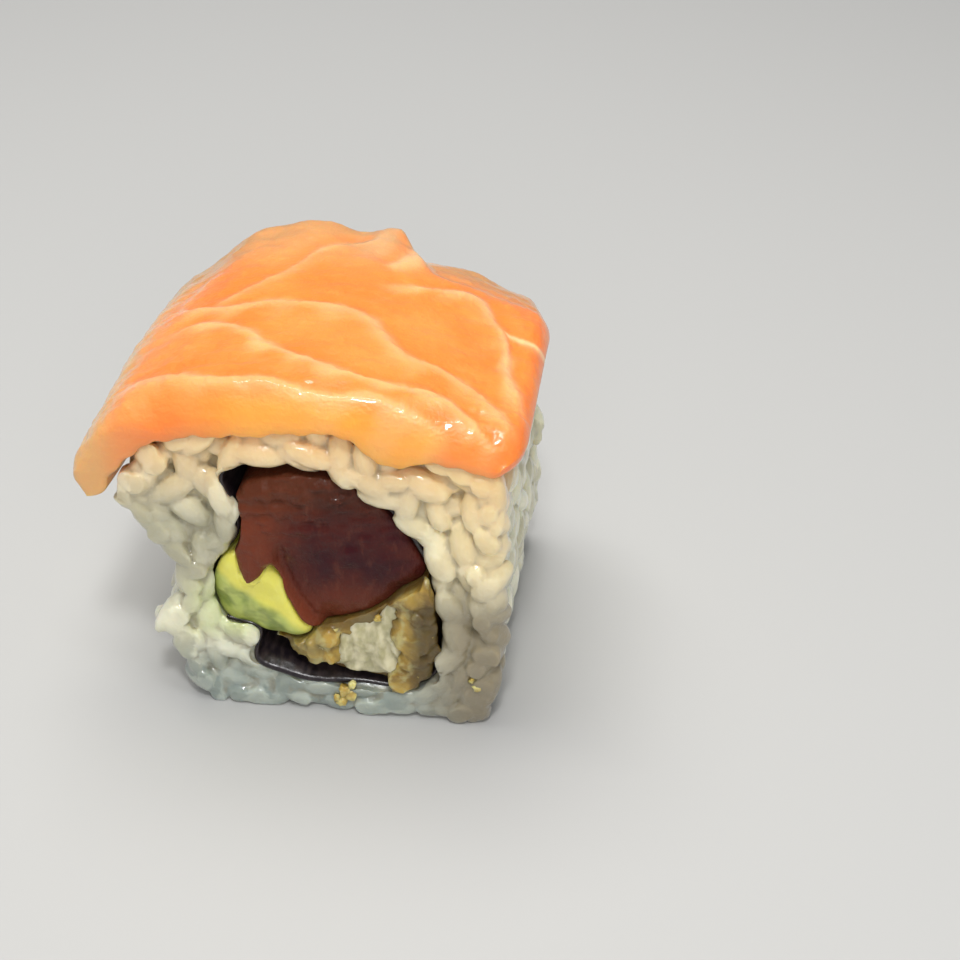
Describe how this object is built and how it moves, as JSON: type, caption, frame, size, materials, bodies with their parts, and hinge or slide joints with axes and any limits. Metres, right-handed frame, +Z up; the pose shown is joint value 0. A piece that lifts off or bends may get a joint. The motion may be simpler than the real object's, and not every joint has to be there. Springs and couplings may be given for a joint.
{
  "type": "uramaki roll",
  "caption": "Inside-out sushi roll piece: square ring of sushi rice round nori, tuna, avocado and crumbed prawn, with a slice of salmon laid over the top.",
  "frame": {"origin": "middle of the underside, on the surface that the piece rests on", "axes": "+X across the roll to the right of the front cut, +Y along the roll from the front cut to the back cut, +Z up"},
  "size_m": [0.047, 0.035, 0.0431],
  "materials": {
    "rice": "cooked sushi rice, translucent white and moist",
    "nori": "damp dark seaweed sheet with a faint sheen",
    "tuna": "raw dark red fish, moist, fine fibres",
    "avocado": "soft ripe flesh, yellow running to green at the rim",
    "prawn": "white flaky flesh in golden crumb batter, rough",
    "salmon": "raw orange fish with pale fat lines, wet gloss"
  },
  "bodies": {
    "root": {"rice": "rice", "nori": "nori", "tuna": "tuna", "avocado": "avocado", "prawn": "prawn", "salmon": "salmon"}
  },
  "joints": []
}
